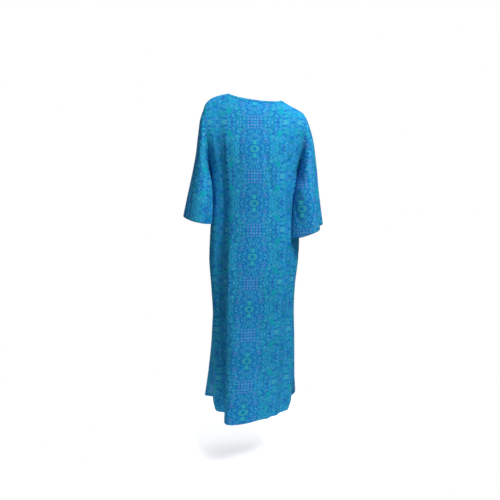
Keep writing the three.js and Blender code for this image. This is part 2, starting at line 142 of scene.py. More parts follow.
def table_value(rows, key, place, column):
    keys, values = rows[key], rows[column]
    order = 1 if keys[-1] > keys[0] else -1
    place = np.asarray(place, float)
    i = np.clip(np.searchsorted(order * keys, order * place) - 1, 0, len(keys) - 2)
    before, after = np.maximum(i - 1, 0), np.minimum(i + 2, len(keys) - 1)
    span = keys[i + 1] - keys[i]
    start = span * (values[i + 1] - values[before]) / (keys[i + 1] - keys[before])
    end = span * (values[after] - values[i]) / (keys[after] - keys[i])
    t = (place - keys[i]) / span
    ends = values[i] * (2 * t**3 - 3 * t**2 + 1) + values[i + 1] * (3 * t**2 - 2 * t**3)
    return ends + start * (t**3 - 2 * t**2 + t) + end * (t**3 - t**2)


def body_point(place, z, facing):
    place, z = np.broadcast_arrays(np.asarray(place, float), np.asarray(z, float))
    left = table_value(BODY_SECTIONS, "z", z, "left")
    right = table_value(BODY_SECTIONS, "z", z, "right")
    s, c = np.sin(place * math.pi / 2), np.cos(place * math.pi / 2)
    half_width = (right - left) / 2
    back = table_value(BODY_SECTIONS, "z", z, "back")
    front = table_value(BODY_SECTIONS, "z", z, "front")
    half_depth = np.where(c > 0, back, front)
    out = np.stack([s / half_width, -c / half_depth], -1)
    out /= np.linalg.norm(out, axis=-1, keepdims=True)
    along = np.stack([-out[..., 1], out[..., 0]], -1)
    spot = np.stack([(left + right) / 2 + half_width * s, -half_depth * c], -1)
    for fold in lines_of(BODY_FOLDS):
        fall = np.clip((fold["top"] - z) / (fold["top"] - HEM_Z), 0, 1)
        turns = (place - lerp(fold["at"], fold["at_hem"], fall) + 6) % 4 - 2
        reach = fold["out"] * fall ** fold["grow"] * bell(turns / fold["width"])
        spot += out * reach[..., None] + along * (np.abs(reach) * fold["side"])[..., None]
    for swing in lines_of(SLIT_SWINGS):
        opened = np.clip((SLIT_Z - z) / (SLIT_Z - HEM_Z), 0, 1) ** 0.9
        turns = (place - swing["at"] + 6) % 4 - 2
        share = opened * bell(turns / swing["width"])
        spot += out * (share * (swing["front_out"] if facing > 0 else -swing["back_in"]))[..., None]
        if facing > 0:
            spot += along * (share * swing["front_ahead"] * swing["at"])[..., None]
    return np.concatenate([spot, z[..., None]], -1)


# Places round the body for even steps of cloth across a panel, at many heights.
LEVELS = 256
STEPS = 240
for panel in (BACK, FRONT):
    places = np.linspace(panel["first"], panel["last"], STEPS + 1)
    heights = np.linspace(ARMPIT_Z, HEM_Z, LEVELS + 1)
    sections = body_point(places[None, :], heights[:, None], panel["facing"])
    walked = np.cumsum(np.linalg.norm(np.diff(sections, axis=1), axis=2), axis=1)
    walked = np.pad(walked, ((0, 0), (1, 0)))
    even = np.linspace(0, 1, STEPS + 1)
    panel["places"] = np.stack([np.interp(even, row / row[-1], places) for row in walked])


def place_at(panel, u, z):
    u, z = np.broadcast_arrays(np.asarray(u, float), np.asarray(z, float))
    level = np.clip((ARMPIT_Z - z) / (ARMPIT_Z - HEM_Z), 0, 1) * LEVELS
    step = np.clip((u + 1) / 2, 0, 1) * STEPS
    i = np.minimum(level.astype(int), LEVELS - 1)
    j = np.minimum(step.astype(int), STEPS - 1)
    places, a, b = panel["places"], level - i, step - j
    upper = lerp(places[i, j], places[i, j + 1], b)
    return lerp(upper, lerp(places[i + 1, j], places[i + 1, j + 1], b), a)


def top_z(panel, u):
    share = np.clip(np.abs(u) / NECK_SHARE, 0, 1)
    left = table_value(SHOULDER_LINE, "u", -NECK_SHARE, "z")
    right = table_value(SHOULDER_LINE, "u", NECK_SHARE, "z")
    neck = lerp(left, right, (u / NECK_SHARE + 1) / 2) - panel["drop"] * np.sqrt(1 - share**2)
    return np.where(share < 1, neck, table_value(SHOULDER_LINE, "u", u, "z"))


def bottom_z(panel, u):
    in_corner = np.maximum(0, panel["corner"] - (1 - np.abs(u)) * HALF_PANEL)
    return HEM_Z + panel["corner"] - np.sqrt(np.maximum(0, panel["corner"] ** 2 - in_corner**2))


def armhole_curve(fall):
    return 2.9 * fall**0.5 * (1 - fall) ** 1.3


def yoke_point(panel, u, z):
    line_x = table_value(SHOULDER_LINE, "u", u, "x")
    line_z = table_value(SHOULDER_LINE, "u", u, "z")
    fall = np.clip((line_z - z) / (line_z - ARMPIT_Z), 0, 1)
    chest = body_point(place_at(panel, u, ARMPIT_Z), ARMPIT_Z, panel["facing"])
    depth = chest[..., 1] * np.sin(math.pi / 2 * fall) ** panel["rounding"]
    edge = panel["facing"] * ARMHOLE_DEPTH * armhole_curve(fall) * np.abs(u) ** 3
    x = lerp(chest[..., 0], line_x, (1 - fall) ** 1.5)
    return np.stack([x, depth + edge, z], -1)


def panel_spot(panel, u, z):
    u, z = np.broadcast_arrays(np.asarray(u, float), np.asarray(z, float))
    below = body_point(place_at(panel, u, z), np.minimum(z, ARMPIT_Z), panel["facing"])
    return np.where((z > ARMPIT_Z)[..., None], yoke_point(panel, u, z), below)


def panel_height(panel, u, v):
    yoke = lerp(top_z(panel, u), ARMPIT_Z, np.clip(v, 0, 1))
    skirt = lerp(ARMPIT_Z, SLIT_Z, v - 1)
    foot = lerp(SLIT_Z, bottom_z(panel, u), v - 2)
    return np.where(v < 1, yoke, np.where(v < 2, skirt, foot))


# Rows of the cloth from the top (0) past the armpits (1) and the slits (2) to the hem (3), and
# columns from the left edge (-1) to the right edge (1), closer together at the neck's ends.
panel_rows = np.concatenate(
    [
        (np.arange(YOKE_ROWS) / YOKE_ROWS) ** ROW_CROWDING,
        1 + np.arange(SKIRT_ROWS) / SKIRT_ROWS,
        2 + np.arange(FOOT_ROWS + 1) / FOOT_ROWS,
    ]
)[:, None]
column = np.arange(COLUMNS + 1)
in_neck = np.clip((column - SHOULDER_COLUMNS) / NECK_COLUMNS, 0, 1)
from_edge = np.minimum(column, COLUMNS - column) / SHOULDER_COLUMNS
shoulder_u = lerp(-1, -NECK_SHARE, from_edge) * np.where(column < COLUMNS / 2, 1, -1)
neck_u = NECK_SHARE * np.sin(math.pi * (in_neck - 0.5))
top_u = np.where(from_edge < 1, shoulder_u, neck_u)
panel_columns = lerp(top_u, -1 + 2 * column / COLUMNS, smooth(0, 1, panel_rows))


def outward_normals(points, flip, ring=False):
    """Of a grid of points whose rows run down and columns across."""
    wide = np.concatenate([points[:, -2:-1], points, points[:, 1:2]], 1) if ring else points
    across, down = np.gradient(wide, axis=1), np.gradient(wide, axis=0)
    normals = np.cross(across, down) * (-1 if flip else 1)
    normals /= np.maximum(np.linalg.norm(normals, axis=-1, keepdims=True), 1e-9)
    return normals[:, 1:-1] if ring else normals


# Finer creases, each from one end to the other in the plane of the cloth: across from its
# middle and height, in millimetres, how far it bows aside, its width, and how far it stands
# out or, below 0, sinks in.
BACK_CREASES = table(
    "x0 z0 x1 z1 bow width out",
    (-190, -80, -150, -620, 8, 12, -3.2),
    (-120, -420, -95, -2000, 0, 8, -7.0),
    (-102, -440, -77, -2000, 0, 10, 4.0),
    (-60, -60, -72, -420, -4, 11, -2.2),
    (-196, -120, -168, -420, 6, 12, 2.2),
    (-128, -90, -114, -420, -5, 11, 3.4),
    (6, -250, -14, -700, 6, 7, -1.6),
    (14, -330, -2, -820, -5, 9, 1.2),
    (120, -70, 150, -300, -10, 15, -3.4),
    (30, -150, 98, -480, 6, 11, -3.8),
    (196, -215, 132, -268, 6, 8, -4.6),
    (214, -246, 150, -330, 8, 9, 4.0),
    (236, -262, 190, -420, -8, 8, -4.8),
    (246, -300, 214, -560, 6, 10, 2.0),
    (-238, -280, -206, -460, 6, 9, -2.6),
    (-60, -520, -92, -1180, 7, 13, -1.8),
    (62, -560, 70, -1220, -6, 12, 1.4),
    (118, -640, 128, -1290, 6, 10, -1.8),
    (-22, -880, -30, -1315, 4, 9, 1.2),
    (204, -600, 214, -1260, -7, 12, -2.2),
    (-232, -640, -236, -1180, 5, 11, 1.8),
    (8, -60, 20, -330, 5, 9, -2.0),
    (-34, -34, -30, -150, -4, 12, 0.9),
)
FRONT_CREASES = table(
    "x0 z0 x1 z1 bow width out",
    (-150, -80, -104, -330, 10, 14, -4.4),
    (-110, -60, -62, -240, 6, 11, 2.7),
    (148, -90, 96, -340, -9, 15, -4.1),
    (206, -230, 138, -290, -6, 9, -5.1),
    (236, -268, 186, -430, 8, 9, 4.1),
    (-212, -226, -150, -300, 6, 9, -5.1),
    (-238, -272, -196, -440, -8, 9, 4.1),
    (-30, -190, -48, -620, 6, 11, -3.1),
    (34, -230, 52, -700, -6, 12, 2.7),
    (-132, -480, -148, -1180, 8, 12, -3.7),
    (120, -520, 142, -1240, -7, 12, 3.4),
    (-84, -700, -96, -1290, 5, 9, 2.4),
    (12, -760, 4, -1310, -5, 10, -2.7),
    (208, -560, 220, -1120, 6, 11, -3.4),
    (-222, -620, -226, -1080, -6, 11, 3.1),
)


def relief(creases, across, along):
    total = np.zeros(np.broadcast(across, along).shape)
    for crease in lines_of(creases):
        chord = np.array([crease["x1"] - crease["x0"], crease["z1"] - crease["z0"]])
        length = np.linalg.norm(chord)
        chord /= length
        dx, dz = across - crease["x0"], along - crease["z0"]
        t = np.clip((dx * chord[0] + dz * chord[1]) / length, 0, 1)
        aside = dz * chord[0] - dx * chord[1] - crease["bow"] * 4 * t * (1 - t)
        wander = 0.22 * crease["width"] * np.sin(9 * t + crease["x0"])
        fade = smooth(0, 0.3, t) * (1 - smooth(0.6, 1, t))
        total += crease["out"] * fade * bell((aside + wander) / crease["width"])
    return total


def seam_dip(distance, along):
    """Beside a seam the cloth is drawn in a little, with small uneven puckers."""
    pucker = 0.3 * np.sin(along / 5.3 + 2 * np.sin(along / 23)) * bell(distance / 9)
    return -0.7 * bell(distance / 2.6) + pucker * smooth(0, 3, distance)


SHOULDER_SLANT = 1.2  # height lost for each millimetre of cloth away from the shoulder seam


def panel_cloth(panel, creases):
    """The points of a panel with its creases, their normals and their place in the flat cut."""
    height = panel_height(panel, panel_columns, panel_rows)
    points = panel_spot(panel, panel_columns, height)
    normals = outward_normals(points, panel["facing"] < 0)
    across = panel_columns * HALF_PANEL
    to_side = HALF_PANEL - np.abs(across)
    to_shoulder = (top_z(panel, panel_columns) - height) / SHOULDER_SLANT
    sewn = height > SLIT_Z
    dip = np.where(sewn, seam_dip(to_side, height), 0)
    shoulder = np.abs(panel_columns) > NECK_SHARE
    dip = dip + np.where(shoulder & (height > ARMPIT_Z), seam_dip(to_shoulder, across), 0)
    calm = smooth(0, 14, to_side) * smooth(0, 20, to_shoulder)
    points = points + normals * (relief(creases, across, height) * calm + dip)[..., None]
    step = np.linalg.norm(np.diff(points, axis=0), axis=2)
    down = np.sqrt(np.maximum(0.01, step**2 - np.diff(across, axis=0) ** 2))
    fallen = np.pad(np.cumsum(down, axis=0), ((1, 0), (0, 0)))
    flat = np.stack([across, fallen[YOKE_ROWS] - fallen], -1)
    return points, outward_normals(points, panel["facing"] < 0), flat


def with_turned_edge(points, normals, flat, rises):
    """Adds the rows of an edge that is turned up inside, at those distances from the fold."""
    rows = [points]
    flats = [flat]
    up = points[-4] - points[-1]
    up /= np.maximum(np.linalg.norm(up, axis=-1, keepdims=True), 1e-9)
    for rise, inside in rises:
        rows.append((points[-1] + up * rise - normals[-1] * inside)[None])
        flats.append((flat[-1] - np.array([0, 1.0]) * (inside + rise))[None])
    return np.concatenate(rows), np.concatenate(flats)


# Up from the fold and in from the outside, the turned cloth lying close behind the other.
HEM_TURN = [(-0.1, 0.6), (0.8, 1.25), (3.5, 1.35), (HEM_DEPTH * 0.6, 1.35), (HEM_DEPTH, 1.2)]


def cloth_piece(name, points, flat, materials, flip, ring=False, thickness=CLOTH):
    """A thin shell of cloth from a grid of points in millimetres and their place in the cut."""
    rows, columns = points.shape[:2]
    mesh = bmesh.new()
    bmesh.ops.create_grid(mesh, x_segments=columns - 1, y_segments=rows - 1, size=1)
    mesh.verts.index_update()
    places = points.reshape(-1, 3) * METRES
    print_places = flat.reshape(-1, 2) * METRES
    cut = mesh.loops.layers.uv.new("cut")
    for vert in mesh.verts:
        vert.co = places[vert.index]
    for face in mesh.faces:
        face.smooth = True
        for loop in face.loops:
            loop[cut].uv = print_places[loop.vert.index]
    if ring:
        ends = [v for v in mesh.verts if v.index % columns in (0, columns - 1)]
        bmesh.ops.remove_doubles(mesh, verts=ends, dist=1e-6)
    if flip:
        bmesh.ops.reverse_faces(mesh, faces=mesh.faces)
    data = bpy.data.meshes.new(name)
    mesh.to_mesh(data)
    mesh.free()
    piece = bpy.data.objects.new(name, data)
    bpy.context.scene.collection.objects.link(piece)
    for material in materials:
        data.materials.append(material)
    wall = piece.modifiers.new("cloth thickness", "SOLIDIFY")
    wall.thickness = thickness * METRES
    wall.offset = 0
    wall.material_offset = 1
    return piece


# The print: an all-over blue pattern, mirrored from side to side and from top to bottom, with
# rosettes and dotted blocks in turn down the middle of each width. Lengths are in metres.
MIRROR_ACROSS = 0.168
MIRROR_DOWN = 0.1078
ROSETTE_DOWN = 0.112  # from the armpits' level to the next rosette below
THREAD_PITCH = 0.0004
ROYAL = (1, 78, 170)
AZURE = (1, 120, 194)
TURQUOISE = (2, 150, 198)
TEAL = (18, 180, 170)
LILAC = (72, 140, 226)
SKY = (30, 182, 226)
MIST = (104, 180, 240)
SEA_GREEN = (96, 196, 180)
LEAF = (58, 194, 186)
PALE_LILAC = (132, 168, 236)
UNDYED = (196, 218, 234)


def linear(colour):
    parts = [c / 255 for c in colour]
    return (*[c / 12.92 if c < 0.04045 else ((c + 0.055) / 1.055) ** 2.4 for c in parts], 1)


def node(tree, kind, *values, **settings):
    made = tree.nodes.new(kind)
    for name, value in settings.items():
        setattr(made, name, value)
    for socket, value in zip(made.inputs, values):
        if isinstance(value, bpy.types.NodeSocket):
            tree.links.new(value, socket)
        elif value is not None:
            socket.default_value = value
    return made


def sum_of(tree, operation, a, b=None, c=None):
    return node(tree, "ShaderNodeMath", a, b, c, operation=operation).outputs[0]


def stepped(tree, value, low, high):
    made = node(tree, "ShaderNodeMapRange", value, low, high, interpolation_type="SMOOTHSTEP")
    return made.outputs[0]


def over(tree, share, under, upper):
    made = node(tree, "ShaderNodeMix", share, data_type="RGBA")
    for socket, value in ((made.inputs[6], under), (made.inputs[7], upper)):
        if isinstance(value, bpy.types.NodeSocket):
            tree.links.new(value, socket)
        else:
            socket.default_value = linear(value)
    return made.outputs[2]


def along_line(tree, value, middle, wide, narrow):
    """1 where a value is within narrow of a line's middle, fading to 0 at wide."""
    aside = sum_of(tree, "ABSOLUTE", sum_of(tree, "SUBTRACT", value, middle))
    return stepped(tree, aside, wide, narrow)


def marbling(tree, place, scale, detail, distortion):
    made = node(tree, "ShaderNodeTexNoise", noise_dimensions="2D")
    tree.links.new(place, made.inputs["Vector"])
    for name, value in (("Scale", scale), ("Detail", detail), ("Distortion", distortion)):
        made.inputs[name].default_value = value
    return made.outputs[0]


def oval(tree, x, y, at, across, up):
    """How far a point is from a spot, as a share of an oval's half sizes, and its angle."""
    dx = sum_of(tree, "DIVIDE", sum_of(tree, "SUBTRACT", x, at[0]), across)
    dy = sum_of(tree, "DIVIDE", sum_of(tree, "SUBTRACT", y, at[1]), up)
    squares = sum_of(tree, "MULTIPLY_ADD", dx, dx, sum_of(tree, "MULTIPLY", dy, dy))
    return sum_of(tree, "SQRT", squares), sum_of(tree, "ARCTAN2", dy, dx)


def flower(tree, x, y, at, radius, petals):
    """How far inside a flower's edge a point is, 1 at its heart, and its rings' wave."""
    reach, angle = oval(tree, x, y, at, radius, radius)
    waves = sum_of(tree, "COSINE", sum_of(tree, "MULTIPLY", angle, petals))
    edge = sum_of(tree, "MULTIPLY_ADD", waves, 0.16, 0.84)
    inside = sum_of(tree, "SUBTRACT", 1, sum_of(tree, "DIVIDE", reach, edge))
    rings = sum_of(tree, "COSINE", sum_of(tree, "MULTIPLY", inside, 2 * math.pi * 2))
    return stepped(tree, inside, 0, 0.15), rings


def framed_square(tree, x, y, at, half):
    """How much a point is on the frame of a small square."""
    dx = sum_of(tree, "ABSOLUTE", sum_of(tree, "SUBTRACT", x, at[0]))
    dy = sum_of(tree, "ABSOLUTE", sum_of(tree, "SUBTRACT", y, at[1]))
    off = sum_of(tree, "DIVIDE", sum_of(tree, "MAXIMUM", dx, dy), half)
    return along_line(tree, off, 0.72, 0.36, 0.2)


def printed_cotton(name, washed, weave_depth):
    """washed is how much paler the side is than the printed face."""
    made = bpy.data.materials.new(name)
    made.use_nodes = True
    tree = made.node_tree
    shader = tree.nodes["Principled BSDF"]
    cut = node(tree, "ShaderNodeUVMap", uv_map="cut").outputs[0]
    split = node(tree, "ShaderNodeSeparateXYZ", cut)
    x = sum_of(tree, "PINGPONG", split.outputs[0], MIRROR_ACROSS)
    y = sum_of(tree, "PINGPONG", sum_of(tree, "ADD", split.outputs[1], ROSETTE_DOWN), MIRROR_DOWN)
    mirrored = node(tree, "ShaderNodeCombineXYZ", x, y).outputs[0]

    # The ground runs from royal blue to teal in clouds, with a few broader patches.
    moved = node(tree, "ShaderNodeVectorMath", mirrored, (0.37, 0.61, 0), operation="ADD")
    clouds = marbling(tree, moved.outputs[0], 44, 4, 1.4)
    ramp = node(tree, "ShaderNodeValToRGB", clouds)
    stops = ((0.32, ROYAL), (0.42, AZURE), (0.53, TURQUOISE), (0.64, TEAL), (0.72, AZURE))
    while len(ramp.color_ramp.elements) < len(stops):
        ramp.color_ramp.elements.new(0.5)
    for stop, (place, colour) in zip(ramp.color_ramp.elements, stops):
        stop.position = place
        stop.color = linear(colour)
    ground = ramp.outputs[0]
    for at, across, up, strength, colour in (
        ((0.0, 0.0), 0.04, 0.04, 0.3, AZURE),
        ((0.0, MIRROR_DOWN), 0.046, 0.036, 0.3, AZURE),
        ((0.1, 0.028), 0.026, 0.04, 0.4, TEAL),
        ((0.074, 0.088), 0.016, 0.024, 0.35, TEAL),
        ((0.146, 0.07), 0.02, 0.022, 0.35, TEAL),
    ):
        away = oval(tree, x, y, at, across, up)[0]
        share = sum_of(tree, "MULTIPLY", stepped(tree, away, 1.2, 0.6), strength)
        ground = over(tree, share, ground, colour)

    # Scrolls in three blues follow the contours of a finer marbling, with short pale strokes.
    scrolls = marbling(tree, mirrored, 46, 2.5, 2.6)
    wave = sum_of(tree, "FRACT", sum_of(tree, "MULTIPLY", scrolls, 8))
    for middle, strength, colour in ((0.5, 0.75, ROYAL), (0.15, 0.65, LILAC), (0.8, 0.65, SKY)):
        line = sum_of(tree, "MULTIPLY", along_line(tree, wave, middle, 0.11, 0.05), strength)
        ground = over(tree, line, ground, colour)
    short = stepped(tree, sum_of(tree, "PINGPONG", clouds, 0.05), 0.028, 0.038)
    stroke = sum_of(tree, "MULTIPLY", along_line(tree, wave, 0.32, 0.11, 0.04), short)
    ground = over(tree, sum_of(tree, "MULTIPLY", stroke, 0.9), ground, MIST)

    # Long pale tendrils, broken into pieces, wind between the scrolls.
    tendrils = marbling(tree, mirrored, 27, 1, 2)
    winding = sum_of(tree, "FRACT", sum_of(tree, "MULTIPLY", tendrils, 6))
    broken = stepped(tree, clouds, 0.47, 0.53)
    tendril = sum_of(tree, "MULTIPLY", along_line(tree, winding, 0.5, 0.11, 0.05), broken)
    ground = over(tree, sum_of(tree, "MULTIPLY", tendril, 0.6), ground, MIST)

    # Specks, sown thickly, each in one colour of the print.
    specks = node(tree, "ShaderNodeTexVoronoi", voronoi_dimensions="2D")
    tree.links.new(mirrored, specks.inputs["Vector"])
    specks.inputs["Scale"].default_value = 190
    dot = stepped(tree, specks.outputs["Distance"], 0.5, 0.3)
    tone = node(tree, "ShaderNodeSeparateColor", specks.outputs["Color"])
    for channel, least, colour in (
        (0, 0.72, SKY),
        (2, 0.76, ROYAL),
        (1, 0.8, LILAC),
        (1, 0.95, MIST),
        (0, 0.98, SEA_GREEN),
    ):
        chosen = sum_of(tree, "GREATER_THAN", tone.outputs[channel], least)
        share = sum_of(tree, "MULTIPLY", sum_of(tree, "MULTIPLY", dot, chosen), 0.8)
        ground = over(tree, share, ground, colour)

    # Small flowers: place, radius, number of petals, and the colours of their two rings.
    for at, radius, petals, heart, rim in (
        ((0.052, 0.03), 0.012, 6, ROYAL, MIST),
        ((0.108, 0.062), 0.016, 8, TEAL, TURQUOISE),
        ((0.046, 0.072), 0.011, 5, ROYAL, MIST),
        ((0.168, 0.03), 0.016, 8, ROYAL, TEAL),
        ((0.13, 0.1078), 0.014, 6, TEAL, MIST),
    ):
        inside, rings = flower(tree, x, y, at, radius, petals)
        petal = over(tree, stepped(tree, rings, -0.5, 0.5), heart, rim)
        ground = over(tree, sum_of(tree, "MULTIPLY", inside, 0.75), ground, petal)

    # The middle rosette: a green ring with a small framed square above and below it.
    away = oval(tree, x, y, (0, 0), 0.0175, 0.013)[0]
    ring = along_line(tree, away, 0.8, 0.32, 0.16)
    for wide, narrow, strength, colour in ((2.1, 1.2, 0.3, ROYAL), (0.6, 0.3, 0.6, TURQUOISE)):
        share = sum_of(tree, "MULTIPLY", stepped(tree, away, wide, narrow), strength)
        ground = over(tree, share, ground, colour)
    for share in (ring, framed_square(tree, x, y, (0, 0.0255), 0.0078)):
        ground = over(tree, sum_of(tree, "MULTIPLY", share, 0.7), ground, LEAF)

    # The dotted block half-way between two rosettes: rows of small pale dots.
    within = stepped(tree, x, 0.036, 0.031)
    level_with = stepped(tree, y, MIRROR_DOWN - 0.029, MIRROR_DOWN - 0.025)
    block = sum_of(tree, "MULTIPLY", within, level_with)
    ground = over(tree, sum_of(tree, "MULTIPLY", block, 0.35), ground, AZURE)
    line_x = stepped(tree, sum_of(tree, "PINGPONG", x, 0.0066), 0.0046, 0.0022)
    from_middle = sum_of(tree, "SUBTRACT", MIRROR_DOWN, y)
    line_y = stepped(tree, sum_of(tree, "PINGPONG", from_middle, 0.006), 0.0042, 0.002)
    faint = node(tree, "ShaderNodeMapRange", wave, 0.0, 1.0, 0.25, 0.85).outputs[0]
    dotted = sum_of(tree, "MULTIPLY", sum_of(tree, "MULTIPLY", line_x, line_y), faint)
    ground = over(tree, sum_of(tree, "MULTIPLY", dotted, block), ground, PALE_LILAC)

    # The dye takes a little unevenly, and the wrong side of the cloth shows it paler.
    uneven = node(tree, "ShaderNodeTexNoise")
    tree.links.new(node(tree, "ShaderNodeTexCoord").outputs["Object"], uneven.inputs["Vector"])
    uneven.inputs["Scale"].default_value = 9
    shade = node(tree, "ShaderNodeMapRange", uneven.outputs[0], 0.3, 0.7, 0.93, 1.05).outputs[0]
    grey = node(tree, "ShaderNodeCombineXYZ", shade, shade, shade).outputs[0]
    dyed = node(tree, "ShaderNodeMix", 1.0, data_type="RGBA", blend_type="MULTIPLY")
    tree.links.new(ground, dyed.inputs[6])
    tree.links.new(grey, dyed.inputs[7])
    colour = over(tree, washed, dyed.outputs[2], UNDYED) if washed else dyed.outputs[2]
    tree.links.new(colour, shader.inputs["Base Color"])

    # Plain weave, its threads thicker and thinner along their length.
    slub = node(tree, "ShaderNodeTexNoise", noise_dimensions="2D")
    tree.links.new(cut, slub.inputs["Vector"])
    slub.inputs["Scale"].default_value = 260
    threads = [
        sum_of(tree, "SINE", sum_of(tree, "MULTIPLY", split.outputs[k], 2 * math.pi / THREAD_PITCH))
        for k in (0, 1)
    ]
    weave = sum_of(tree, "MULTIPLY", threads[0], threads[1])
    weave = sum_of(tree, "MULTIPLY_ADD", slub.outputs[0], 1.5, weave)
    bump = node(tree, "ShaderNodeBump")
    bump.inputs["Strength"].default_value = weave_depth
    bump.inputs["Distance"].default_value = 0.0002
    tree.links.new(weave, bump.inputs["Height"])
    tree.links.new(bump.outputs[0], shader.inputs["Normal"])
    rough = node(tree, "ShaderNodeMapRange", slub.outputs[0], 0.3, 0.7, 0.78, 0.9).outputs[0]
    tree.links.new(rough, shader.inputs["Roughness"])
    shader.inputs["Specular IOR Level"].default_value = 0.04
    shader.inputs["Sheen Weight"].default_value = 0.01
    shader.inputs["Sheen Roughness"].default_value = 0.5
    return made


face_side = printed_cotton("printed cotton face", 0, 0.35)
wrong_side = printed_cotton("printed cotton wrong side", 0.1, 0.5)
cotton = (face_side, wrong_side)

# The hems are stitched all round, up and down the side slits too, with a fine blue thread.
STITCH_PITCH = 3.8
STITCH = Vector((0.24, 0.16, 1.4)) * METRES  # half its width, height and length
HEM_STITCHES_UP = 10  # from the fold of the hem
sewing_thread = bpy.data.materials.new("blue sewing thread")
sewing_thread.use_nodes = True
thread_tree = sewing_thread.node_tree
twist = node(thread_tree, "ShaderNodeTexWave")
thread_place = node(thread_tree, "ShaderNodeTexCoord").outputs["Object"]
thread_tree.links.new(thread_place, twist.inputs["Vector"])
twist.inputs["Scale"].default_value = 900
twist.inputs["Distortion"].default_value = 4
thread_colour = over(thread_tree, twist.outputs["Fac"], ROYAL, TURQUOISE)
thread_shader = thread_tree.nodes["Principled BSDF"]
thread_tree.links.new(thread_colour, thread_shader.inputs["Base Color"])
thread_shader.inputs["Roughness"].default_value = 0.55


def stitched(name, edge, out, inset):
    """A row of stitches along an edge of the cloth, that far in from it and on its outside."""
    along = np.gradient(edge, axis=0)
    inward = np.cross(out, along)
    inward *= np.sign(inward[len(edge) // 2, 2] * inset)
    inward /= np.linalg.norm(inward, axis=1, keepdims=True)
    line = edge + inward * abs(inset) + out * (CLOTH / 2 + 0.1)
    walked = np.append(0, np.cumsum(np.linalg.norm(np.diff(line, axis=0), axis=1)))
    at = (np.arange(int(walked[-1] / STITCH_PITCH))[:, None] + (0.15, 0.5, 0.85)) * STITCH_PITCH
    spots = np.stack([np.interp(at, walked, line[:, k]) for k in range(3)], -1) * METRES
    facings = np.stack([np.interp(at[:, 1], walked, out[:, k]) for k in range(3)], -1)
    mesh = bmesh.new()
    for (start, middle, end), facing in zip(spots, facings):
        axis = Vector(end - start).normalized()
        side = Vector(facing).cross(axis).normalized()
        across = side.cross(axis)
        turned = Matrix((side * STITCH.x, across * -STITCH.y, axis * STITCH.z)).transposed()
        place = Matrix.Translation(Vector(middle)) @ turned.to_4x4()
        bmesh.ops.create_uvsphere(mesh, u_segments=5, v_segments=3, radius=1, matrix=place)
    bmesh.ops.recalc_face_normals(mesh, faces=mesh.faces)
    for face in mesh.faces:
        face.smooth = True
    data = bpy.data.meshes.new(name)
    mesh.to_mesh(data)
    mesh.free()
    data.materials.append(sewing_thread)
    piece = bpy.data.objects.new(name, data)
    bpy.context.scene.collection.objects.link(piece)
    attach(piece, "root")


back_points, back_normals, back_flat = panel_cloth(BACK, BACK_CREASES)
front_points, front_normals, front_flat = panel_cloth(FRONT, FRONT_CREASES)
for name, panel, cloth in (
    ("back", BACK, (back_points, back_normals, back_flat)),
    ("front", FRONT, (front_points, front_normals, front_flat)),
):
    points, flat = with_turned_edge(*cloth, HEM_TURN)
    piece = cloth_piece(f"{name}_width", points, flat, cotton, flip=panel["facing"] < 0)
    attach(piece, "root")
    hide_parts(f"{name}_panel")
    down, up = slice(YOKE_ROWS + SKIRT_ROWS + 1, -1), slice(-2, YOKE_ROWS + SKIRT_ROWS, -1)
    edge, out = (
        np.concatenate([rows[down, 0], rows[-1], rows[up, -1]]) for rows in (cloth[0], cloth[1])
    )
    stitched(f"{name}_hem_stitches", edge, out, HEM_STITCHES_UP)

# The sleeves.
# Two straight-topped bell sleeves of the same cotton, sewn to the straight armholes. They end
# below the elbow in an inner and an outer lobe, with a narrow turned hem.
LEFT_SLEEVE = {
    "side": -1,
    "sections": table(
        "t outX outY outZ inX inY inZ back front",
        (0.0, -212, 0, -48, -180, 0, -305, 60, 60),
        (0.05, -217, 0, -62, -186, -2, -309, 62, 62),
        (0.14, -224, 0, -88, -180, -10, -322, 64, 62),
        (0.28, -231, 0, -145, -174, -22, -348, 66, 62),
        (0.45, -237, -2, -208, -170, -32, -380, 67, 64),
        (0.62, -249, -4, -275, -169, -38, -416, 68, 67),
        (0.8, -266, -6, -352, -170, -42, -455, 71, 70),
        (1.0, -292, -8, -472, -172, -44, -506, 76, 74),
    ),
    "folds": table(
        "at width top out",
        (0.62, 0.16, 0.45, 12),
        (0.86, 0.12, 0.25, -12),
        (1.35, 0.2, 0.4, 10),
        (1.65, 0.14, 0.5, -8),
    ),
    "creases": table(
        "x0 z0 x1 z1 bow width out",
        (60, -40, 150, -250, 10, 12, -2.6),
        (118, -90, 176, -300, -8, 10, 2.4),
        (40, -170, 90, -390, 7, 11, -2.0),
        (170, -120, 196, -340, 6, 9, -2.6),
        (-60, -60, -140, -280, -8, 12, -2.2),
        (-120, -120, -170, -360, 7, 11, 2.2),
        (8, -60, 16, -300, 5, 12, 1.4),
    ),
    "print_across": -30,  # where the print's middle line runs, from the sleeve's outer edge
    "print_up": 60,
}
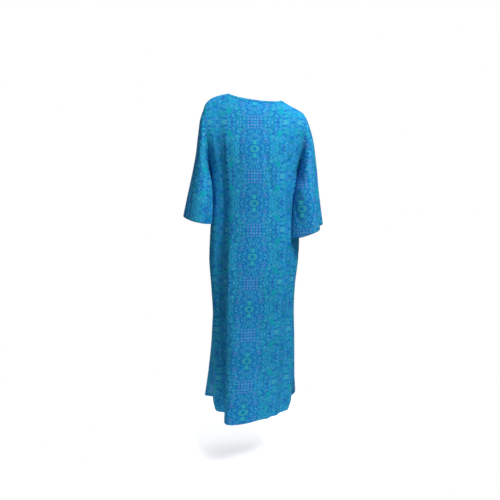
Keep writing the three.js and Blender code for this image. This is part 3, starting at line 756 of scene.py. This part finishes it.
RIGHT_SLEEVE = {
    "side": 1,
    "sections": table(
        "t outX outY outZ inX inY inZ back front",
        (0.0, 214, 0, -86, 176, 0, -305, 60, 60),
        (0.05, 218, 0, -98, 177, -4, -309, 62, 61),
        (0.14, 225, 0, -120, 172, -16, -324, 64, 60),
        (0.28, 235, 0, -162, 168, -36, -352, 67, 60),
        (0.45, 242, 0, -222, 160, -50, -392, 68, 60),
        (0.62, 248, 2, -290, 156, -60, -436, 68, 62),
        (0.8, 255, 4, -385, 154, -66, -492, 70, 66),
        (1.0, 268, 6, -506, 152, -70, -562, 72, 72),
    ),
    "folds": table(
        "at width top out",
        (0.1, 0.12, 0.5, 6),
        (0.3, 0.08, 0.4, -16),
        (0.5, 0.14, 0.3, 14),
        (1.4, 0.2, 0.4, 8),
        (1.7, 0.14, 0.5, -8),
    ),
    "creases": table(
        "x0 z0 x1 z1 bow width out",
        (150, -30, 90, -210, 9, 12, -2.8),
        (186, -60, 132, -260, -8, 10, 2.6),
        (200, -110, 170, -330, 7, 9, -3.0),
        (60, -120, 74, -330, -6, 12, -1.8),
        (24, -60, 30, -260, 5, 13, 1.4),
        (-70, -50, -130, -290, -8, 12, -2.2),
        (-130, -130, -176, -370, 6, 11, 2.2),
    ),
    "print_across": 118,
    "print_up": 19,
}
SLEEVE_CLEARANCE = 7  # between the skirt's plain form and a sleeve that hangs beside it
ARMPIT_CLEARANCE = 0.8  # the same just under the armhole
PRINT_LEAN = 0.14  # how far the print's middle line moves round for each millimetre down
AROUND = 2 * YOKE_ROWS  # columns round a sleeve
SLEEVE_ROWS = 110


def armhole_point(side, around):
    behind = panel_spot(BACK, side, panel_height(BACK, side, np.clip(around, 0, 1)))
    ahead = panel_spot(FRONT, side, panel_height(FRONT, side, np.clip(2 - around, 0, 1)))
    return np.where((around <= 1)[..., None], behind, ahead)


def clear_of_body(side, points):
    x, y, height = points[..., 0], points[..., 1], points[..., 2]
    z = np.minimum(ARMPIT_Z, height)
    left = table_value(BODY_SECTIONS, "z", z, "left")
    right = table_value(BODY_SECTIONS, "z", z, "right")
    back = table_value(BODY_SECTIONS, "z", z, "back")
    front = table_value(BODY_SECTIONS, "z", z, "front")
    across = np.sqrt(np.maximum(0, 1 - (y / np.where(y < 0, back, front)) ** 2))
    clear = lerp(ARMPIT_CLEARANCE, SLEEVE_CLEARANCE, smooth(ARMPIT_Z - 10, ARMPIT_Z - 90, height))
    wall = (left + right) / 2 + side * ((right - left) / 2 * across + clear)
    push = side * (wall - x) * smooth(ARMPIT_Z + 70, ARMPIT_Z, height)
    points[..., 0] = x + side * np.maximum(0, push)


def sleeve_point(sleeve, around, t):
    def value(column):
        return table_value(sleeve["sections"], "t", t, column)

    side = sleeve["side"]
    behind = around <= 1
    down = np.where(behind, around, 2 - around)
    roundness = smooth(0, 0.4, t)
    share = lerp(down, (1 - np.cos(math.pi * down)) / 2, roundness)
    bulge = lerp(armhole_curve(down), np.sin(math.pi * down), roundness)
    outer = np.stack([value("outX"), value("outY"), value("outZ")], -1)
    across = np.stack([value("inX"), value("inY"), value("inZ")], -1) - outer
    turn = across[..., 1] / np.linalg.norm(across, axis=-1)
    depth = bulge * np.where(behind, -value("back"), value("front"))
    points = outer + across * share[..., None]
    points[..., 0] += depth * turn * side
    points[..., 1] += depth * np.sqrt(1 - turn**2)
    for fold in lines_of(sleeve["folds"]):
        fall = np.clip((t - fold["top"]) / (1 - fold["top"]), 0, 1)
        reach = fold["out"] * fall * bell((around - fold["at"]) / fold["width"])
        points[..., 0] += side * np.cos(math.pi * around) * reach
        points[..., 1] -= np.sin(math.pi * around) * reach
    clear_of_body(side, points)
    return lerp(points, armhole_point(side, around), 1 - smooth(0, 0.035, t)[..., None])


def sleeve_cloth(sleeve):
    t = ((np.arange(SLEEVE_ROWS + 1) / SLEEVE_ROWS) ** 1.3)[:, None]
    yoke = (np.arange(YOKE_ROWS + 1) / YOKE_ROWS) ** ROW_CROWDING
    at_armhole = np.concatenate([yoke, 2 - yoke[-2::-1]])[None, :]
    around = lerp(at_armhole, np.linspace(0, 2, AROUND + 1)[None, :], smooth(0, 0.4, t))
    t = np.broadcast_to(t, around.shape)
    flip = sleeve["side"] < 0
    points = sleeve_point(sleeve, around, t)
    normals = outward_normals(points, flip, ring=True)
    axis = points[-1, 0] - points[0, 0]
    axis /= np.linalg.norm(axis)
    fall = (points - points[0, 0]) @ axis
    step = np.linalg.norm(np.diff(points, axis=1), axis=2)
    step = np.sqrt(np.maximum(0.01, step**2 - np.diff(fall, axis=1) ** 2))
    walked = np.cumsum(np.pad(step, ((0, 0), (1, 0))), axis=1)
    turned = walked - np.where(around > 1, walked[:, -1:], 0)
    fallen = np.cumsum(np.linalg.norm(np.diff(points, axis=0), axis=2), axis=0)
    fallen = np.pad(fallen, ((1, 0), (0, 0)))
    calm = smooth(0, 16, fallen)
    rise = relief(sleeve["creases"], turned, -fallen) * calm + seam_dip(fallen, walked)
    points = points + normals * rise[..., None]
    points[:, -1] = points[:, 0]
    middle = sleeve["print_across"] + PRINT_LEAN * fall
    flat = np.stack([walked - middle, sleeve["print_up"] - fall], -1)
    return points, outward_normals(points, flip, ring=True), flat


for name, sleeve in (("left", LEFT_SLEEVE), ("right", RIGHT_SLEEVE)):
    cloth = sleeve_cloth(sleeve)
    points, flat = with_turned_edge(*cloth, HEM_TURN)
    points[:, -1] = points[:, 0]
    piece = cloth_piece(f"{name}_bell_sleeve", points, flat, cotton, flip=name == "left", ring=True)
    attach(piece, "root")
    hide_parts(f"{name}_sleeve")
    stitched(f"{name}_cuff_stitches", cloth[0][-1], cloth[1][-1], HEM_STITCHES_UP)

# The neck binding.
# A strip cut on the bias from the same cotton, folded over the raw neck edge and stitched down
# on both sides. Its two ends meet in a small lump at the left shoulder seam.
BINDING_CLOTH = 0.8
BINDING_STITCHES_DOWN = 1  # from the neck edge, on the outside
# Across the folded strip from its outside to its inside: out from the neck edge, and up.
BINDING_SECTION = [
    (1.2, -3.0),
    (1.3, -1.5),
    (1.2, 0.5),
    (1.35, 2.6),
    (1.3, 4.6),
    (1.0, 6.1),
    (0.0, 6.6),
    (-1.0, 6.1),
    (-1.3, 4.6),
    (-1.2, 2.6),
    (-1.1, 0.5),
    (-1.1, -3.0),
]
neck = slice(SHOULDER_COLUMNS, COLUMNS - SHOULDER_COLUMNS + 1)
edge = np.concatenate([back_points[0, neck], front_points[0, neck][::-1][1:]])
below = np.concatenate([back_points[2, neck], front_points[2, neck][::-1][1:]])
facing = np.concatenate([back_normals[0, neck], front_normals[0, neck][::-1][1:]])


def softened(rows, times):
    for _ in range(times):
        rows = (np.roll(rows, 1, 0) + 2 * rows + np.roll(rows, -1, 0)) / 4
    return rows


edge, below, facing = (softened(rows[:-1], 6) for rows in (edge, below, facing))
along = np.roll(edge, -1, 0) - np.roll(edge, 1, 0)
along /= np.linalg.norm(along, axis=1, keepdims=True)
facing -= along * (facing * along).sum(1, keepdims=True)
facing /= np.linalg.norm(facing, axis=1, keepdims=True)
rising = np.cross(facing, along)
rising *= np.sign((rising * (edge - below)).sum(1, keepdims=True))
rising = softened(rising, 14)
length = np.pad(np.cumsum(np.linalg.norm(np.roll(edge, -1, 0) - edge, axis=1)), (1, 0))
join = bell((length[:-1] - 6) / 5)[:, None]
strip = np.stack(
    [
        edge
        + facing * (out * (1 + 0.3 * join) + 0.16 * np.sin(length[:-1, None] / 3.1 + 2 * out))
        + rising * (rise + 0.22 * np.sin(length[:-1, None] / 6.3) + 0.3 * join)
        for out, rise in BINDING_SECTION
    ]
)
strip = np.concatenate([strip, strip[:, :1]], 1)
across = np.cumsum([0] + [math.dist(a, b) for a, b in zip(BINDING_SECTION, BINDING_SECTION[1:])])
bias = math.sqrt(0.5)
strip_flat = np.stack(
    [
        bias * (length[None, :] - across[:, None]) + 30,
        bias * (length[None, :] + across[:, None]),
    ],
    -1,
)
binding = cloth_piece(
    "bias_binding", strip, strip_flat, cotton, flip=False, ring=True, thickness=BINDING_CLOTH
)
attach(binding, "root")
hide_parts("neck_binding")

closed = np.append(np.arange(len(edge)), 0)
stitch_line = edge + facing * 0.9 - rising * BINDING_STITCHES_DOWN
stitched("binding_stitches", stitch_line[closed], facing[closed], 0.01)

# The room.
# A round white floor below the dress, a soft light from the right behind it, a broad one from
# above and one on its front, and white walls all round that give the rest of the light.
FLOOR_Z = -1.54
FLOOR_RADIUS = 0.7
floor_mesh = bmesh.new()
bmesh.ops.create_circle(floor_mesh, cap_ends=True, segments=96, radius=FLOOR_RADIUS)
bmesh.ops.translate(floor_mesh, verts=floor_mesh.verts, vec=(0, 0, FLOOR_Z))
floor_data = bpy.data.meshes.new("floor")
floor_mesh.to_mesh(floor_data)
floor_mesh.free()
floor = bpy.data.objects.new("floor", floor_data)
bpy.context.scene.collection.objects.link(floor)
pale = bpy.data.materials.new("pale floor")
pale.use_nodes = True
paint = pale.node_tree.nodes["Principled BSDF"]
paint.inputs["Base Color"].default_value = (0.95, 0.95, 0.95, 1)
paint.inputs["Roughness"].default_value = 0.8
paint.inputs["Emission Color"].default_value = (1, 1, 1, 1)
paint.inputs["Emission Strength"].default_value = 0.36
floor_data.materials.append(pale)

# The walls look white and light the dress less than they look.
WALLS_LIGHT = 0.23
WALLS_LOOK = 1.0
world = bpy.data.worlds.new("white room")
bpy.context.scene.world = world
world.use_nodes = True
white = world.node_tree.nodes["Background"]
white.inputs["Color"].default_value = (1, 1, 1, 1)
seen = node(world.node_tree, "ShaderNodeLightPath").outputs["Is Camera Ray"]
walls = node(world.node_tree, "ShaderNodeMapRange", seen, 0, 1, WALLS_LIGHT, WALLS_LOOK)
world.node_tree.links.new(walls.outputs[0], white.inputs["Strength"])

MIDDLE_OF_DRESS = Vector((0, 0, -0.6))
for name, place, size, power in (
    ("soft key", (1.1, -1.55, 1.4), 0.9, 62),
    ("top light", (0.1, 0.5, 2.4), 2.4, 36),
    ("rear fill", (-0.8, 2.6, 0.9), 2.2, 50),
):
    lamp = bpy.data.lights.new(name, "AREA")
    lamp.shape = "DISK"
    lamp.size = size
    lamp.energy = power
    light = bpy.data.objects.new(name, lamp)
    bpy.context.scene.collection.objects.link(light)
    light.location = place
    towards = MIDDLE_OF_DRESS - Vector(place)
    light.rotation_euler = towards.to_track_quat("-Z", "Y").to_euler()

bpy.context.scene.view_settings.view_transform = "Standard"

# The camera stands behind the dress, a little below its shoulders, and looks slightly down.
LOOKS_DOWN = 8.9
camera_data = bpy.data.cameras.new("camera")
camera_data.lens = 43.2
camera_data.sensor_width = 36
camera = bpy.data.objects.new("camera", camera_data)
bpy.context.scene.collection.objects.link(camera)
camera.location = (-0.02, -2.51, -0.23)
camera.rotation_euler = (math.radians(90 - LOOKS_DOWN), 0, 0)
bpy.context.scene.camera = camera
